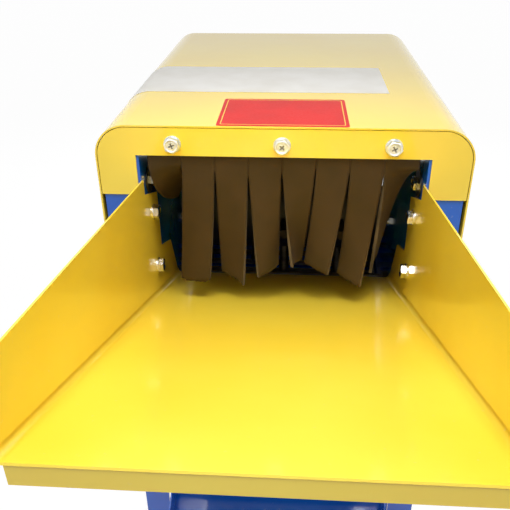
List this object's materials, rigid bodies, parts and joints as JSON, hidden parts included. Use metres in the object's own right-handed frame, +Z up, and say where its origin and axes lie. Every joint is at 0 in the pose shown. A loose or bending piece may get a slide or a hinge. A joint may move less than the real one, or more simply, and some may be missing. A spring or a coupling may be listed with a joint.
{
  "type": "electric corn sheller",
  "caption": "Electric corn sheller on legs: feed hopper with rubber curtain, hinged hood, peg rotor over a rod concave, belt drive and motor.",
  "frame": {"origin": "on the floor, at the centre of the four foot holes", "axes": "+X to the right seen from the feed side, +Y to the rear, +Z up"},
  "size_m": [0.4205, 0.9105, 0.7175],
  "materials": {
    "yellow_paint": "glossy powder coat",
    "blue_paint": "glossy powder coat",
    "zinc_plate": "bright zinc plating",
    "dark_steel": "hot-rolled steel",
    "bright_steel": "ground",
    "drum_paint": "satin black enamel",
    "cast_iron": "as cast",
    "motor_paint": "satin paint",
    "black_rubber": "matt",
    "black_plastic": "moulded",
    "red_plastic": "moulded",
    "white_vinyl": "bare",
    "red_vinyl": "bare"
  },
  "bodies": {
    "machine": {"leg_front_left": "blue_paint", "leg_front_right": "blue_paint", "leg_rear_left": "blue_paint", "leg_rear_right": "blue_paint", "top_rail_left": "blue_paint", "top_rail_right": "blue_paint", "lower_frame": "blue_paint", "motor_rails": "blue_paint", "front_panel": "blue_paint", "rear_panel": "blue_paint", "side_wall_left": "blue_paint", "side_wall_right": "blue_paint", "kernel_chute": "blue_paint", "cob_chute": "yellow_paint", "concave_grate": "dark_steel", "hood_front_plate": "yellow_paint", "hood_seal": "black_rubber", "clamp_bar": "dark_steel", "curtain_band": "black_rubber", "curtain_bolts": "zinc_plate", "hopper_floor": "yellow_paint", "hopper_wall_left": "yellow_paint", "hopper_wall_right": "yellow_paint", "hopper_bolts": "zinc_plate", "side_wall_bolts": "zinc_plate", "bearing_left": "cast_iron", "bearing_right": "cast_iron", "bearing_bolts": "zinc_plate", "hinge_fixed_leaf": "zinc_plate", "hinge_pin": "zinc_plate", "motor_housing": "motor_paint", "motor_fan_cover": "motor_paint", "motor_bolts": "zinc_plate", "terminal_box": "motor_paint", "v_belt": "black_rubber", "belt_guard": "yellow_paint", "switch_box": "black_plastic", "cable_gland": "black_plastic"},
    "hood": {"hood_shell": "yellow_paint", "hood_rear_wall": "yellow_paint", "hinge_moving_leaf": "zinc_plate", "white_plate": "white_vinyl", "red_plate": "red_vinyl"},
    "knob_left": {"knob_left": "black_plastic"},
    "knob_right": {"knob_right": "black_plastic"},
    "rotor": {"rotor_shaft": "bright_steel", "rotor_drum": "drum_paint", "rotor_pegs": "dark_steel", "rotor_pulley": "cast_iron"},
    "motor_rotor": {"motor_shaft": "bright_steel", "motor_pulley": "cast_iron"},
    "rocker": {"switch_rocker": "red_plastic"},
    "strip_1": {"strip_1": "black_rubber"},
    "strip_2": {"strip_2": "black_rubber"},
    "strip_3": {"strip_3": "black_rubber"},
    "strip_4": {"strip_4": "black_rubber"},
    "strip_5": {"strip_5": "black_rubber"},
    "strip_6": {"strip_6": "black_rubber"},
    "strip_7": {"strip_7": "black_rubber"},
    "strip_8": {"strip_8": "black_rubber"}
  },
  "joints": [
    {"name": "hood_hinge", "type": "hinge", "parent": "machine", "child": "hood", "pos_m": [0, 0.22425, 0.676], "axis": [-1, 0, 0], "range_deg": [0, 95]},
    {"name": "knob_left_turn", "type": "hinge", "parent": "hood", "child": "knob_left", "pos_m": [-0.18, -0.10075, 0.606], "axis": [1, 0, 0], "continuous": true},
    {"name": "knob_right_turn", "type": "hinge", "parent": "hood", "child": "knob_right", "pos_m": [0.18, -0.10075, 0.606], "axis": [1, 0, 0], "continuous": true},
    {"name": "rotor_spin", "type": "hinge", "parent": "machine", "child": "rotor", "pos_m": [0, 0.02925, 0.528], "axis": [1, 0, 0], "continuous": true},
    {"name": "motor_spin", "type": "hinge", "parent": "machine", "child": "motor_rotor", "pos_m": [0, 0.07925, 0.19], "axis": [1, 0, 0], "continuous": true},
    {"name": "rocker_tilt", "type": "hinge", "parent": "machine", "child": "rocker", "pos_m": [-0.19, -0.21025, 0.483], "axis": [-1, 0, 0], "range_deg": [0, 12]},
    {"name": "strip_1_swing", "type": "hinge", "parent": "machine", "child": "strip_1", "pos_m": [0, -0.21575, 0.676], "axis": [1, 0, 0], "range_deg": [-25, 40], "stiffness_Nm_per_rad": 0.15},
    {"name": "strip_2_swing", "type": "hinge", "parent": "machine", "child": "strip_2", "pos_m": [0, -0.21575, 0.676], "axis": [1, 0, 0], "range_deg": [-20, 55], "stiffness_Nm_per_rad": 0.15},
    {"name": "strip_3_swing", "type": "hinge", "parent": "machine", "child": "strip_3", "pos_m": [0, -0.21575, 0.676], "axis": [1, 0, 0], "range_deg": [-20, 55], "stiffness_Nm_per_rad": 0.15},
    {"name": "strip_4_swing", "type": "hinge", "parent": "machine", "child": "strip_4", "pos_m": [0, -0.21575, 0.676], "axis": [1, 0, 0], "range_deg": [-20, 55], "stiffness_Nm_per_rad": 0.15},
    {"name": "strip_5_swing", "type": "hinge", "parent": "machine", "child": "strip_5", "pos_m": [0, -0.21575, 0.676], "axis": [1, 0, 0], "range_deg": [-20, 55], "stiffness_Nm_per_rad": 0.15},
    {"name": "strip_6_swing", "type": "hinge", "parent": "machine", "child": "strip_6", "pos_m": [0, -0.21575, 0.676], "axis": [1, 0, 0], "range_deg": [-20, 55], "stiffness_Nm_per_rad": 0.15},
    {"name": "strip_7_swing", "type": "hinge", "parent": "machine", "child": "strip_7", "pos_m": [0, -0.21575, 0.676], "axis": [1, 0, 0], "range_deg": [-20, 55], "stiffness_Nm_per_rad": 0.15},
    {"name": "strip_8_swing", "type": "hinge", "parent": "machine", "child": "strip_8", "pos_m": [0, -0.21575, 0.676], "axis": [1, 0, 0], "range_deg": [-20, 55], "stiffness_Nm_per_rad": 0.15}
  ],
  "couplings": [
    {"joint": "motor_spin", "follows": "rotor_spin", "ratio": 1.5625}
  ]
}
